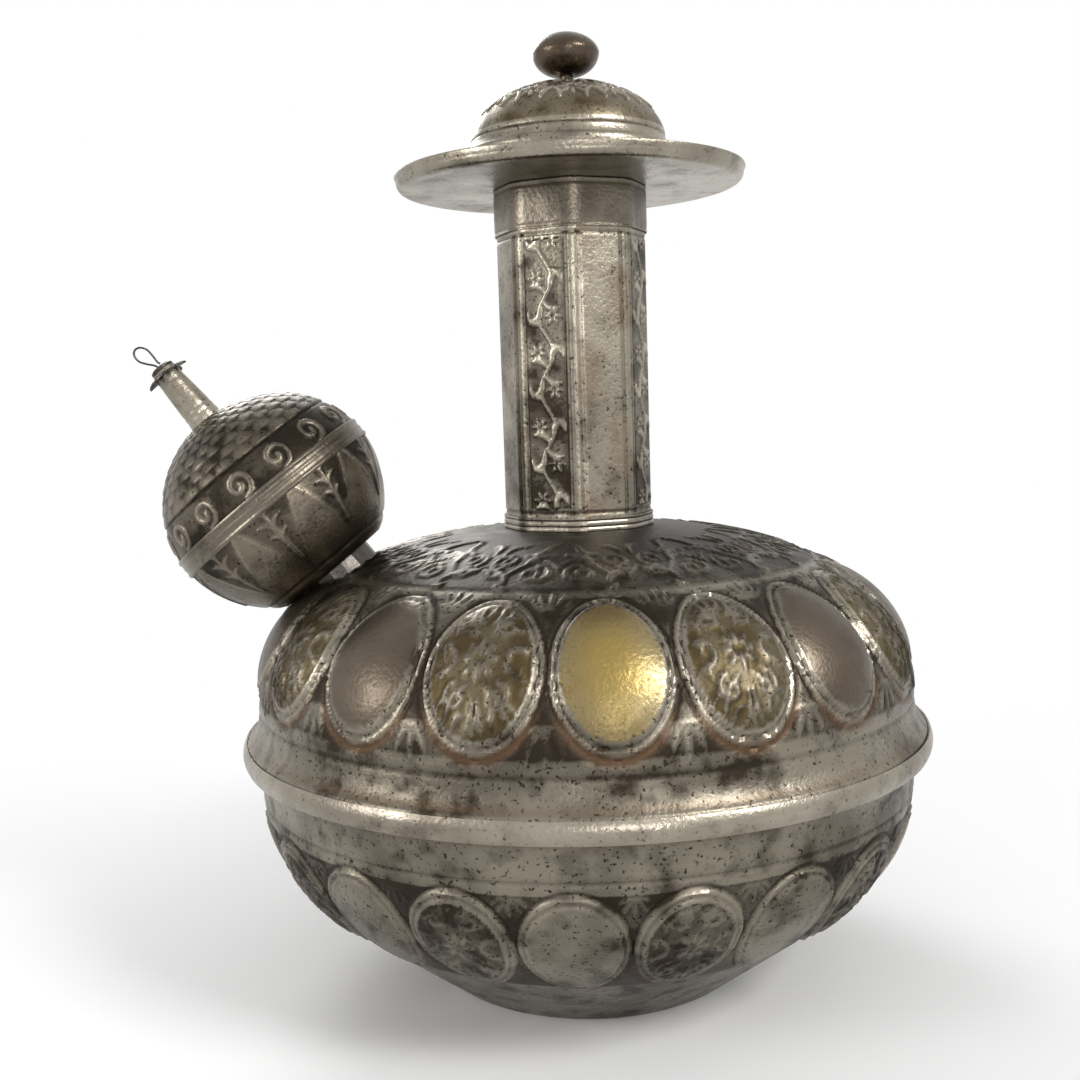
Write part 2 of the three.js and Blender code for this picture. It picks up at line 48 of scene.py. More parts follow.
# Body, in millimetres, as in the construction
BODY_RADIUS = 102.3
BOWL_DEPTH = 66.0
CONE_HEIGHT = 23.5  # the plain cone under the round of the bowl
BASE_RADIUS = 48.8
BASE_TURN_IN = 2.5
SEAM_RADIUS = 106.0
SEAM_BOTTOM = 72.3
LAP_HEIGHT = 5.2  # the bowl's edge inside the seam
GIRDLE_HEIGHT = 6.2
GIRDLE_STAND = 0.75  # how far the girdle's edges stand out of the seam
GIRDLE_SHEET = 0.5
FLARE_HEIGHT = 10.5  # the body flares out to the seam over this height
FLARE_DRAW = 3.0
SHOULDER_START = 84.0
SHOULDER_RISE = 56.7
SHOULDER_POWER = 2.5
SHOULDER_END = 26.0  # radius at which the shoulder turns flat
MOUTH_RADIUS = 20.4
SHEET = 1.0
THIN_SHEET = 0.8
SOLDER_GAP = 0.25

# Medallions of the bowl and egg-shaped bosses of the shoulder
MEDALLIONS = 20
MEDALLION_TURN = -7.0
MEDALLION_BOTTOM = 23.7
MEDALLION_TOP = 57.5
MEDALLION_FILL = 0.96  # share of its pitch that one takes
MEDALLION_DOME = 1.5
MEDALLION_REACH = 19.0  # half its height, along the bowl
MEDALLION_FLOWER = 0.8  # the flower's edge, as a share of the way to the medallion's
OVALS = 18
OVAL_BOTTOM = 93.0
OVAL_TOP = 127.5
OVAL_FILL = 0.93
OVAL_DOME = 2.3
OVAL_DOME_EDGE = 0.93
OVAL_REACH = 20.0
OVAL_FLOWER = 0.84
DOME_POWER = 0.6  # a pressed dome is steep at its edge and flat on top

# Leaf scroll above the ovals
SCROLL_START = 4.5
SCROLL_MIDDLE = 17.0
SCROLL_RADIUS = 62.0  # radius at which one wave has its true width
SCROLL_HALF_WAVE = 11.0

# Neck
NECK_APOTHEM = 22.0
NECK_CORNER = 10.0
NECK_TURN = -4.0
NECK_SIDES = 8
NECK_BOTTOM = 140.2
NECK_TOP = 244.0
FOOT_BAND_TOP = 144.2
HEAD_BAND_BOTTOM = 230.2
BAND_STAND = 0.62
BAND_SHEET = 0.3
PANEL_BOTTOM = 147.0
PANEL_TOP = 227.0
PANEL_HALF = 6.6
VINE_START = 144.0
VINE_WAVE = 22.0

# Brim, lid and knob
BRIM_TOP = 245.45
BRIM_BEND = 3.4
BRIM_BEND_RISE = 2.9
BRIM_LIP = 0.5
BRIM_SHEET = 1.2
LID_GAP = 0.3
LID_RADIUS = 37.0
LID_EDGE = 1.4
LID_WAIST_RADIUS = 33.0
LID_WAIST_HEIGHT = 5.6
BEAD_RADIUS = 34.0
BEAD_TOP_RADIUS = 31.0
BEAD_TOP = 10.2
DOME_RADIUS = 30.0
DOME_LIFT = 12.0
DOME_RISE = 18.1
DOME_START = 257.5
DOME_SPRAYS = 12
STEM_RADIUS = 2.25
KNOB_FOOT_RADIUS = 3.85

# Spout, along its own axis from the middle of the bulb
SPOUT_TILT = math.radians(52)
ROOT_HOLE_RADIUS = 13.3
BULB_RADIUS = 34.4
BULB_BACK = 28.6
BULB_BACK_ROUND = 27.4  # where the round wall meets the flat back
BULB_FRONT = 31.5
BULB_SEAM = 0.13
BULB_BAND_HALF = 3.0
BULB_BAND_STAND = 0.62
BULB_BAND_SHEET = 0.35
BULB_POINTS = 10
BULB_POINT_LENGTH = 24.0
BULB_CURLS = 15
BULB_CURL_BAND = 14.0
BULB_SCALES = 28
BULB_SCALE_PITCH = 3.4
TUBE_HOLE_RADIUS = 5.55
TUBE_BOTTOM = 28.0
TUBE_TAPER_START = 32.0
TUBE_TOP = 51.5
TUBE_ROOT_RADIUS = 5.3
TUBE_TIP_RADIUS = 3.9
TUBE_LINES = (34, 36, 47)

# Columns around each surface
BOWL_COLUMNS = 880
SHOULDER_COLUMNS = 900
GIRDLE_COLUMNS = 420
NECK_COLUMNS = 320
BRIM_COLUMNS = 360
LID_COLUMNS = 540
KNOB_COLUMNS = 128
BULB_COLUMNS = 500
BULB_BAND_COLUMNS = 300
TUBE_COLUMNS = 96

# Colours that the surface's layers add to the plate. The copper colour is worn-through copper and also
# painted shadow under the bosses.
COPPER_AND_SHADOW = (0.16, 0.095, 0.055)
DARK = (0.1, 0.078, 0.058)
GILT = (0.31, 0.225, 0.075)

# Grain of the tarnishing and painted dark reflections, in repeats per metre
CLOUD_SCALE = 38
MOTTLE_SCALE = 130
DENT_SCALE = 120
SPECK_SCALE = 900

# The photograph's own view: fitted place and angles of the camera
CAMERA_PLACE = (0, -0.40344, 0.17785)
CAMERA_TURN = math.radians(-4.4)
CAMERA_YAW = -0.0311
CAMERA_FALL = 0.1045
CAMERA_ROLL = -0.0319
CAMERA_LENS = 42.463
CAMERA_SENSOR = 36.0

# Soft lights: name, place in metres, size in metres, power in watts
LIGHT_TARGET = (0, 0, 0.13)
LIGHTS = (
    ("key softbox", (0.75, -0.75, 0.85), 0.4, 11),
    ("left softbox", (-0.95, -0.45, 0.45), 0.35, 4),
    ("back softbox", (-0.35, 0.9, 0.7), 0.5, 6),
    ("low front strip", (0.15, -1.1, 0.3), 0.18, 1.6),
)
FLOOR_REACH = 3.0
FLOOR_COLOUR = (0.86, 0.86, 0.86, 1)
FLOOR_FADE = (0.16, 0.42)  # distances between which the floor turns to plain white
SKY_LOW = (0.12, 0.12, 0.125, 1)
SKY_HIGH = (0.6, 0.6, 0.6, 1)


def smooth(low, high, x):
    """Smoothstep of x from low to high."""
    t = np.clip((x - low) / (high - low), 0, 1)
    return t * t * (3 - 2 * t)


def ridge(distance, width):
    """A rounded line: a bell curve across its width."""
    return np.exp(-((distance / width) ** 2))


def wrap(x, period):
    """Offset of x from the nearest multiple of period."""
    return x - period * np.round(x / period)


def spiral(cx, cy, start, end, turns, first, hand=1, steps=14):
    """Points of a spiral about (cx, cy), from radius start to end."""
    t = np.linspace(0, 1, steps)
    angle = first + hand * turns * 2 * math.pi * t
    radius = start + (end - start) * t
    return np.stack([cx + radius * np.cos(angle), cy + radius * np.sin(angle)], 1)


def leaf(x0, y0, x1, y1, width, bow=0.0):
    """A bowed, pointed stroke from one point to another: its middle stands off the straight line
    by bow times the line's length."""
    t = np.linspace(0, 1, 7)
    nx, ny = -(y1 - y0), x1 - x0
    curve = bow * np.sin(math.pi * t)
    points = np.stack([x0 + (x1 - x0) * t + nx * curve, y0 + (y1 - y0) * t + ny * curve], 1)
    return points, width, True


def rosette(cx, cy, radius, petals, width):
    """Leaf strokes around a point."""
    lines = []
    start = 0.28 * radius
    for k in range(petals):
        angle = 2 * math.pi * k / petals
        c, s = math.cos(angle), math.sin(angle)
        lines.append(leaf(cx + start * c, cy + start * s, cx + radius * c, cy + radius * s, width))
    return lines


def spray():
    """The flower and leaves inside one oval, in millimetres about its middle: a rosette, a curl and
    two leaves in each quarter, two leaves on each side, and a wreath of leaves along the rim."""
    wreath = 14
    lines = rosette(0, 1, 4.6, 8, 0.95)
    for side in (-1, 1):
        for lift in (-1, 1):
            curl = spiral(side * 5.2, lift * 8.6 + 1, 3.4, 0.7, 1.2, math.pi / 2, side * lift)
            lines.append((curl, 0.6, False))
            lines.append(leaf(side * 2.0, lift * 6 + 1, side * 7.6, lift * 13, 0.9, 0.15 * side))
            lines.append(leaf(side * 1.0, lift * 9 + 1, side * 2.6, lift * 15.6, 0.8, -0.12 * side))
        lines.append(leaf(side * 6.5, 1, side * 10.8, 4.0, 0.9, 0.2 * side))
        lines.append(leaf(side * 6.5, 1, side * 10.8, -2.6, 0.9, -0.2 * side))
    for k in range(wreath):
        angle = 2 * math.pi * (k + 0.5) / wreath
        c, s = math.cos(angle), math.sin(angle)
        lines.append(leaf(12.6 * c, 16.4 * s, 9.6 * c - 1.4 * s, 12.2 * s + 1.4 * c, 0.7, 0.25))
    return lines


def fleuron(size):
    """Five leaves that fan out downwards from a point, the outer ones shorter."""
    lines = []
    for k in range(-2, 3):
        angle = -math.pi / 2 + k * 0.5
        reach = size * (1 - 0.09 * abs(k))
        end_x, end_y = reach * math.cos(angle), reach * math.sin(angle)
        lines.append(leaf(0, 0, end_x, end_y, 0.13 * size, 0.08 * k))
    return lines


def strokes(x, y, lines):
    """Height from 0 to 1 of rounded strokes. Each line is (points, width, taper): its half-width
    falls along it as the root of a sine if taper, and the strokes join by their highest point."""
    height = np.zeros_like(x)
    for points, width, taper in lines:
        count = len(points)
        t = np.clip(np.linspace(0, 1, count), 0.06, 0.94)
        widths = width * (np.sqrt(np.sin(math.pi * t)) if taper else np.ones(count))
        for i in range(count - 1):
            (ax, ay), (bx, by) = points[i], points[i + 1]
            length = (bx - ax) ** 2 + (by - ay) ** 2 + 1e-9
            along = np.clip(((x - ax) * (bx - ax) + (y - ay) * (by - ay)) / length, 0, 1)
            distance = np.hypot(x - ax - along * (bx - ax), y - ay - along * (by - ay))
            half = widths[i] + (widths[i + 1] - widths[i]) * along
            height = np.maximum(height, np.sqrt(np.clip(1 - (distance / half) ** 2, 0, 1)))
    return height


def band_points(a, corner, b, steps):
    """Points of the curve from a to b that is drawn towards a corner."""
    t = np.linspace(0, 1, steps)[:, None]
    return (1 - t) ** 2 * np.array(a) + 2 * t * (1 - t) * np.array(corner) + t**2 * np.array(b)


def arc_length(r, z):
    """Length along an outline up to each of its points."""
    return np.concatenate([[0], np.cumsum(np.hypot(np.diff(r), np.diff(z)))])


def turned(name, r, z, wall, columns, relief=None, radius_at=None, place=None, inner_rows=8):
    """A turned shell as a surface of two parameters, azimuth from the front and length along the
    outline (r, z). The outside is moved along its normal by relief(azimuth, r, z, s), and the same
    outline moved in by the wall closes it. radius_at(azimuth) scales the outline's radius."""
    r, z = np.asarray(r, float), np.asarray(z, float)
    s = arc_length(r, z)
    dr, dz = np.gradient(r), np.gradient(z)
    length = np.hypot(dr, dz) + 1e-12
    nr, nz = dz / length, -dr / length
    azimuth = np.linspace(0, 2 * math.pi, columns, endpoint=False)
    grid = np.broadcast_to(azimuth, (len(r), columns))
    column = np.ones((1, columns))
    height, layers = np.zeros_like(grid), {}
    if relief:
        outline = (r[:, None] * column, z[:, None] * column, s[:, None] * column)
        height, layers = relief(np.degrees(grid), *outline)
    pick = np.linspace(0, len(r) - 1, inner_rows).astype(int)[::-1]
    radius = np.vstack([r[:, None] + nr[:, None] * height, (r - nr * wall)[pick][:, None] * column])
    level = np.vstack([z[:, None] + nz[:, None] * height, (z - nz * wall)[pick][:, None] * column])
    radius = np.maximum(radius, 0)
    if radius_at is not None:
        radius = radius * radius_at(np.degrees(azimuth))[None, :]
    points = np.stack([radius * np.sin(azimuth), -radius * np.cos(azimuth), level], -1)
    points = points.reshape(-1, 3) * MM
    if place is not None:
        matrix = np.array(place)
        points = points @ matrix[:3, :3].T + matrix[:3, 3]
    rows = len(radius)
    index = np.arange(rows * columns).reshape(rows, columns)
    up, right = np.roll(index, -1, 0), np.roll(index, -1, 1)
    faces = np.stack([index, right, np.roll(up, -1, 1), up], -1).reshape(-1, 4)
    mesh = bpy.data.meshes.new(name)
    mesh.from_pydata(points.tolist(), [], faces.tolist())
    for layer, values in layers.items():
        full = np.vstack([values, np.broadcast_to(values.min(), (rows - len(r), columns))])
        attribute = mesh.attributes.new(layer, "FLOAT", "POINT")
        attribute.data.foreach_set("value", full.ravel().astype(np.float32))
    mesh.shade_smooth()
    mesh.set_sharp_from_angle(angle=math.radians(55))
    made = bpy.data.objects.new(name, mesh)
    bpy.context.scene.collection.objects.link(made)
    return made


def bowl_radius(z):
    """Radius of the bowl at a height: an ellipse about the body's widest level."""
    return BODY_RADIUS * np.sqrt(np.clip(1 - ((BOWL_DEPTH - z) / BOWL_DEPTH) ** 2, 0, 1))


def shoulder_radius(z):
    """Radius of the shoulder at a height: a squarer curve than an ellipse, with its own power."""
    rise = np.clip((z - SHOULDER_START) / SHOULDER_RISE, 0, 1)
    return BODY_RADIUS * (1 - rise**SHOULDER_POWER) ** (1 / SHOULDER_POWER)


def medallion_relief(azimuth, r, z, s):
    """Twenty domed round medallions with two raised rims, every second one filled with a flower,
    small fans between their tops, and chased lines above and below. e is the distance from a
    medallion's middle as a share of the way to its edge."""
    pitch = 360 / MEDALLIONS
    turn = azimuth - MEDALLION_TURN
    across = wrap(turn, pitch)
    number = np.round(turn / pitch).astype(int) % MEDALLIONS
    middle = (MEDALLION_BOTTOM + MEDALLION_TOP) / 2
    up = (z - middle) / (MEDALLION_TOP - MEDALLION_BOTTOM) * 2
    e = np.hypot(across / (pitch / 2) / MEDALLION_FILL, up)
    x = np.radians(across) * r
    y = up * MEDALLION_REACH
    height = MEDALLION_DOME * np.clip(1 - e**2, 0, 1) ** DOME_POWER
    rims = 0.42 * ridge(e - 0.97, 0.03) + 0.3 * ridge(e - 0.84, 0.025)
    grooves = 0.5 * ridge(e - 1.05, 0.035) + 0.25 * ridge(e - 0.905, 0.02)
    floral = (number % 2 == 1) & (e < MEDALLION_FLOWER)
    flower = np.where(floral, strokes(x * 1.05, y * 0.95, spray()), 0)
    flower = flower * smooth(MEDALLION_FLOWER, 0.72, e)
    between = wrap(turn - pitch / 2, pitch)
    fan = strokes(np.radians(between) * r, (z - MEDALLION_TOP + 0.5) * 1.2, fleuron(6.5))
    fan = fan * (e > 1.02)
    lines = 0.45 * ridge(z - 61.0, 0.45) + 0.35 * ridge(z - CONE_HEIGHT + 0.6, 0.5)
    detail = rims + 0.5 * flower + 0.45 * fan - grooves - lines
    ground = np.where(floral, 0.22, 0)
    clean = 0.56 + 0.32 * detail - ground
    clean = clean - 0.3 * smooth(0.9, 1.2, e) * (z < MEDALLION_TOP) * (z > MEDALLION_BOTTOM)
    layers = {
        "clean": np.clip(clean, 0, 1),
        # The crescent under each medallion in this layer is painted shadow below its lower edge, and
        # worn copper as well; the line under the seam is copper.
        "copper_and_shadow": 0.6 * ridge(z - 71.8, 1.0) + 0.3 * ridge(e - 1.06, 0.04) * (up < -0.4),
    }
    return height + detail, layers


def scroll_relief(x, y, hand):
    """One wave of leaf scroll, mirrored where hand is negative: a sine stem, a curl on each side of
    it and six leaves."""
    x = x * hand
    stem_x = np.linspace(-SCROLL_HALF_WAVE, SCROLL_HALF_WAVE, 13)
    lines = [
        (np.stack([stem_x, 6 * np.sin(stem_x * math.pi / SCROLL_HALF_WAVE)], 1), 0.7, False),
        (spiral(4.5, -3.5, 5.2, 1.0, 1.3, math.pi / 2, -1), 0.7, False),
        (spiral(-5.0, 4.5, 4.8, 1.0, 1.3, -math.pi / 2, -1), 0.7, False),
        leaf(-10, -2, -2, -8, 1.5, 0.2),
        leaf(1, 3, 9, 9.5, 1.5, 0.2),
        leaf(-1, 9, 5, 15, 1.4, -0.2),
        leaf(-9, 11, -3, 18, 1.4, 0.2),
        leaf(5, 12, 9, 20, 1.3, 0.15),
        leaf(-4, -10, 3, -13, 1.2, -0.2),
    ]
    return strokes(x, y, lines)


def shoulder_relief(azimuth, r, z, s):
    """Eighteen egg-shaped bosses, plain and flowered in turn, fans between their feet, and a band
    of leaf scroll from their tops to the neck. e is the distance from a boss's middle as a share of
    the way to its edge. The boss at the front is gilt, and the other plain ones are dark."""
    pitch = 360 / OVALS
    across = wrap(azimuth, pitch)
    number = np.round(azimuth / pitch).astype(int) % OVALS
    profile_z, profile_s = z[:, 0], s[:, 0]
    low = np.interp(OVAL_BOTTOM, profile_z, profile_s)
    high = np.interp(OVAL_TOP, profile_z, profile_s)
    up = (s - (low + high) / 2) / (high - low) * 2
    e = np.hypot(across / (pitch / 2) / OVAL_FILL, up)
    x = np.radians(across) * r
    y = up * OVAL_REACH
    plain = number % 2 == 0
    height = OVAL_DOME * np.clip(1 - (e / OVAL_DOME_EDGE) ** 2, 0, 1) ** DOME_POWER
    rims = 0.48 * ridge(e - 0.99, 0.025) + 0.32 * ridge(e - 0.87, 0.02)
    grooves = 0.6 * ridge(e - 1.07, 0.04) + 0.35 * ridge(e - 0.93, 0.018)
    inside = e < OVAL_FLOWER
    flower = np.where(~plain & inside, strokes(x, y, spray()), 0) * smooth(OVAL_FLOWER, 0.78, e)
    between = wrap(azimuth - pitch / 2, pitch)
    gap_x = np.radians(between) * r
    fan = strokes(gap_x, s - low - 7.5, fleuron(9.5)) * (e > 1.03)
    tip = strokes(gap_x, high - s - 4.0, fleuron(7.0)) * (e > 1.03)
    scroll_s = s - high
    in_scroll = scroll_s > SCROLL_START
    hand = (number % 2) * 2 - 1
    scroll = scroll_relief(np.radians(across) * SCROLL_RADIUS, scroll_s - SCROLL_MIDDLE, hand)
    scroll = scroll * in_scroll
    edge = 0.4 * ridge(scroll_s - 2.0, 0.45) + 0.4 * ridge(scroll_s - 3.8, 0.45)
    collar = 0.5 * ridge(r - 29, 0.6)
    lines = 0.4 * ridge(z - 91.0, 0.45) + 0.4 * ridge(z - 87.8, 0.4)
    detail = rims + 0.6 * flower + 0.5 * (fan + tip) + 0.55 * scroll
    detail = detail - grooves - lines - edge - collar
    clean = 0.58 + 0.36 * detail
    clean = clean - 0.3 * (~plain & inside) - 0.3 * in_scroll - 0.25 * ((e > 1.05) & (abs(up) < 1.05))
    gilt = np.where((number == 0) & inside, 1.0 - 0.5 * smooth(0.15, OVAL_FLOWER, e), 0)
    gilt = gilt + 0.15 * (~plain & inside) * (1 - flower)
    dark = np.where(plain & inside & (number != 0), 0.85, 0)
    # Painted shadow under each boss's raised lower edge, where the plate is also worn through to the
    # copper.
    shadow_crescent = ridge(e - 1.06, 0.06) * smooth(-0.45, -0.8, up)
    layers = {
        "clean": np.clip(clean, 0, 1),
        "gilt": gilt,
        "dark": dark * smooth(OVAL_FLOWER, 0.8, e),
        "copper_and_shadow": 0.6 * shadow_crescent + 0.3 * ridge(z - 80.0, 0.8),
    }
    return height + detail, layers


def neck_scale(azimuth):
    """Radius of the rounded octagon over its apothem, in the direction of each azimuth: an arc at
    each corner, and the straight side between."""
    half = math.pi / NECK_SIDES
    reach = (NECK_APOTHEM - NECK_CORNER) / math.cos(half)
    psi = np.abs(np.radians(wrap(azimuth - NECK_TURN, 360 / NECK_SIDES)))
    joint = math.atan2(NECK_CORNER * math.sin(half), reach + NECK_CORNER * math.cos(half))
    round_part = reach * np.cos(psi) + np.sqrt(NECK_CORNER**2 - (reach * np.sin(psi)) ** 2)
    flat_part = NECK_APOTHEM / np.cos(half - psi)
    return np.where(psi < joint, round_part, flat_part) / NECK_APOTHEM


def neck_relief(azimuth, r, z, s):
    """Eight panels inside double lines, every second one with a climbing vine: a sine stem with a
    flower and three leaves at each bend. The plain panels have worn, coppery patches."""
    pitch = 360 / NECK_SIDES
    turn = azimuth - NECK_TURN
    panel = np.floor(turn / pitch).astype(int) % NECK_SIDES
    x = np.radians(turn - pitch * np.floor(turn / pitch) - pitch / 2) * (NECK_APOTHEM + 1)
    y = wrap(z - VINE_START, VINE_WAVE)
    vine_y = np.linspace(-VINE_WAVE / 2, VINE_WAVE / 2, 13)
    vine_x = 2.4 * np.sin(vine_y * math.pi / (VINE_WAVE / 2))
    lines = [(np.stack([vine_x, vine_y], 1), 0.6, False)]
    for side in (-1, 1):
        lines += rosette(side * 2.6, side * -5.5, 2.6, 6, 0.6)
        lines.append(leaf(side * 1.5, side * 3, side * 5.0, side * 7.5, 1.25, 0.2))
        lines.append(leaf(side * -1.8, side * -8, side * -5.6, side * -4.4, 1.1, 0.2))
        lines.append(leaf(side * 0.5, side * 1, side * -4.6, side * 3.2, 1.25, -0.2))
    inside = (z > PANEL_BOTTOM) & (z < PANEL_TOP) & (abs(x) < PANEL_HALF)
    floral = panel % 2 == 1
    vine = np.where(floral & inside, strokes(x, y, lines), 0)
    border = ridge(abs(x) - 7.6, 0.3) + 0.7 * ridge(abs(x) - 6.7, 0.25)
    border = border * (z > 145) * (z < 229)
    ends = ridge(z - 145.5, 0.4) + ridge(z - 228.6, 0.4)
    detail = 0.5 * vine - 0.35 * border - 0.3 * ends
    worn = smooth(-0.2, 0.9, np.sin(z / 7.0) * np.sin(azimuth / 9.0 + 1.0))
    layers = {
        "clean": np.clip(0.72 + 0.8 * detail - 0.28 * (floral & inside), 0, 1),
        "copper_and_shadow": np.where(floral, 0, 0.3) * worn,
    }
    return detail, layers


def dome_relief(azimuth, r, z, s):
    """Twelve leaf sprays up the dome, each a flower, two curls and four leaves, and lines around
    its foot."""
    across = np.radians(wrap(azimuth, 360 / DOME_SPRAYS)) * np.maximum(r, 12)
    top = s[-1, 0]
    first = np.interp(DOME_START + 3, z[:, 0], s[:, 0])
    y = s - (first + top) / 2
    lines = rosette(0, -4, 4.2, 8, 0.8)
    for side in (-1, 1):
        lines.append((spiral(side * 4.2, 5.0, 3.2, 0.6, 1.2, -math.pi / 2, side), 0.55, False))
        lines.append(leaf(side * 1.0, 2, side * 2.6, 13, 0.9, 0.12 * side))
        lines.append(leaf(side * 4.0, -10, side * 7.2, -3, 0.9, 0.2 * side))
    on_dome = (s > first) * (r > 5)
    leaves = strokes(across, y, lines) * on_dome
    rings = ridge(z - 256.6, 0.3) + ridge(z - 258.6, 0.35) + ridge(r - 5.0, 0.4) * (z > 270)
    detail = 0.6 * leaves - 0.3 * rings
    layers = {
        "clean": np.clip(0.72 + 0.7 * detail - 0.28 * on_dome, 0, 1),
        "gilt": 0.12 * (s > first) * (1 - leaves),
    }
    return detail, layers


def bulb_back_relief(azimuth, r, z, s):
    """Ten leaf-filled points that reach down from the band, in the spout's frame. A point is as wide
    as its pitch at the band, and its width falls evenly to nothing at its tip."""
    pitch = 360 / BULB_POINTS
    across = wrap(azimuth, pitch)
    cell = across / (pitch / 2)
    half = np.clip((z + BULB_POINT_LENGTH) / BULB_POINT_LENGTH, 0, 1)
    edge = np.abs(np.abs(cell) - half)
    inside = np.abs(cell) < half
    x = np.radians(across) * r
    lines = [leaf(0, -20, 0, -3, 0.9)]
    for side in (-1, 1):
        for k in range(3):
            end_x, end_y = side * (2.6 + 1.6 * k), -10 + 4.4 * k
            lines.append(leaf(0, -14 + 5 * k, end_x, end_y, 0.85, 0.2 * side))
    leaves = np.where(inside, strokes(x, z, lines), 0)
    fade = smooth(-25, 0, z)
    detail = 0.4 * leaves + 0.4 * ridge(edge, 0.07) * fade - 0.35 * ridge(z + 25.5, 0.5)
    return detail, {"clean": np.clip(0.66 + 0.7 * detail - 0.25 * inside, 0, 1)}


def bulb_front_relief(azimuth, r, z, s):
    """A row of large curls above the band, and rows of small round scales up to the tube, each row
    turned by half a scale from the last."""
    cell = np.radians(wrap(azimuth, 360 / BULB_CURLS)) * r
    curls = strokes(cell, z, [(spiral(0, 7.5, 4.6, 0.9, 1.25, -math.pi / 2, 1), 0.85, False)])
    row = np.floor((s - BULB_CURL_BAND) / BULB_SCALE_PITCH)
    step = 360 / BULB_SCALES
    shift = wrap(azimuth + step / 2 * (row % 2), step) / step * 2
    drop = (s - BULB_CURL_BAND) / BULB_SCALE_PITCH - row
    scale = np.clip(1 - np.hypot(shift * 0.95, drop * 0.95), 0, 1) ** 0.5 * (s > BULB_CURL_BAND)
    detail = 0.5 * curls * (s < BULB_CURL_BAND) + 0.35 * scale
    for line in (13.4, 2.5):
        detail = detail - 0.3 * ridge(s - line, 0.4)
    return detail, {"clean": np.clip(0.42 + 0.8 * detail, 0, 1)}


def link(tree, source, target):
    """Joins one socket to another."""
    tree.links.new(source, target)


def metal(name, silver, tarnish_and_reflection_colour, rough, pits, worn=False):
    """Plate that is bright where it is rubbed and dark in the hollows. Its darkening is the sum of
    wide clouds and small mottling, which are tarnishing and painted dark reflections, and pits.
    Where worn, the surface's clean, gilt, dark and copper layers say where each colour lies; the
    copper layer also holds painted shadow under the bosses."""
    material = bpy.data.materials.new(name)
    material.use_nodes = True
    tree = material.node_tree
    nodes = tree.nodes
    shader = nodes["Principled BSDF"]
    shader.inputs["Metallic"].default_value = 1.0
    place = nodes.new("ShaderNodeTexCoord")

    def noise(scale, detail):
        """Noise over the piece's own place."""
        n = nodes.new("ShaderNodeTexNoise")
        n.inputs["Scale"].default_value = scale
        n.inputs["Detail"].default_value = detail
        link(tree, place.outputs["Object"], n.inputs["Vector"])
        return n.outputs["Fac"]

    def spread(value, low, high, bottom, top):
        """The value from low to high, spread from bottom to top."""
        n = nodes.new("ShaderNodeMapRange")
        ends = {"From Min": low, "From Max": high, "To Min": bottom, "To Max": top}
        for key, number in ends.items():
            n.inputs[key].default_value = number
        link(tree, value, n.inputs["Value"])
        return n.outputs["Result"]

    def add(a, b):
        """The sum of two values, kept from 0 to 1."""
        n = nodes.new("ShaderNodeMath")
        n.operation = "ADD"
        n.use_clamp = True
        link(tree, a, n.inputs[0])
        link(tree, b, n.inputs[1])
        return n.outputs[0]

    def blend(factor, a, b):
        """Colour a turned into colour b by the factor."""
        n = nodes.new("ShaderNodeMix")
        n.data_type = "RGBA"
        link(tree, factor, n.inputs["Factor"])
        for socket, colour in ((n.inputs["A"], a), (n.inputs["B"], b)):
            if isinstance(colour, tuple):
                socket.default_value = (*colour, 1)
            else:
                link(tree, colour, socket)
        return n.outputs["Result"]

    def layer(key):
        """A layer that the surface carries on its points."""
        n = nodes.new("ShaderNodeAttribute")
        n.attribute_name = key
        return n.outputs["Fac"]

    # Wide clouds and mottling: tarnishing, and painted dark reflections of the room around the metal.
    cloud = spread(noise(CLOUD_SCALE, 6), 0.4, 0.64, 0.0, 0.42)
    mottle = spread(noise(MOTTLE_SCALE, 5), 0.5, 0.66, 0.0, 0.3)
    speck = noise(SPECK_SCALE, 3)
    tarnish_and_dark_reflection = add(add(cloud, mottle), spread(speck, 0.6, 0.74, 0.0, pits))
    if worn:
        tarnish_and_dark_reflection = add(tarnish_and_dark_reflection, spread(layer("clean"), 0.2, 0.78, 0.95, 0.0))
    colour = blend(tarnish_and_dark_reflection, silver, tarnish_and_reflection_colour)
    if worn:
        # The copper layer's colour also lays painted shadow under the bosses and medallions.
        for key, tint in (("copper_and_shadow", COPPER_AND_SHADOW), ("dark", DARK), ("gilt", GILT)):
            colour = blend(layer(key), colour, tint)
    link(tree, colour, shader.inputs["Base Color"])
    link(tree, spread(tarnish_and_dark_reflection, 0.0, 1.0, rough, rough + 0.22), shader.inputs["Roughness"])
    pitting = spread(speck, 0.3, 0.7, 0.4, 0.0)
    dents = spread(noise(DENT_SCALE, 4), 0.3, 0.7, 0.0, 0.5)
    bump = nodes.new("ShaderNodeBump")
    bump.inputs["Strength"].default_value = 0.35
    bump.inputs["Distance"].default_value = 0.0004
    link(tree, add(pitting, dents), bump.inputs["Height"])
    link(tree, bump.outputs["Normal"], shader.inputs["Normal"])
    return material


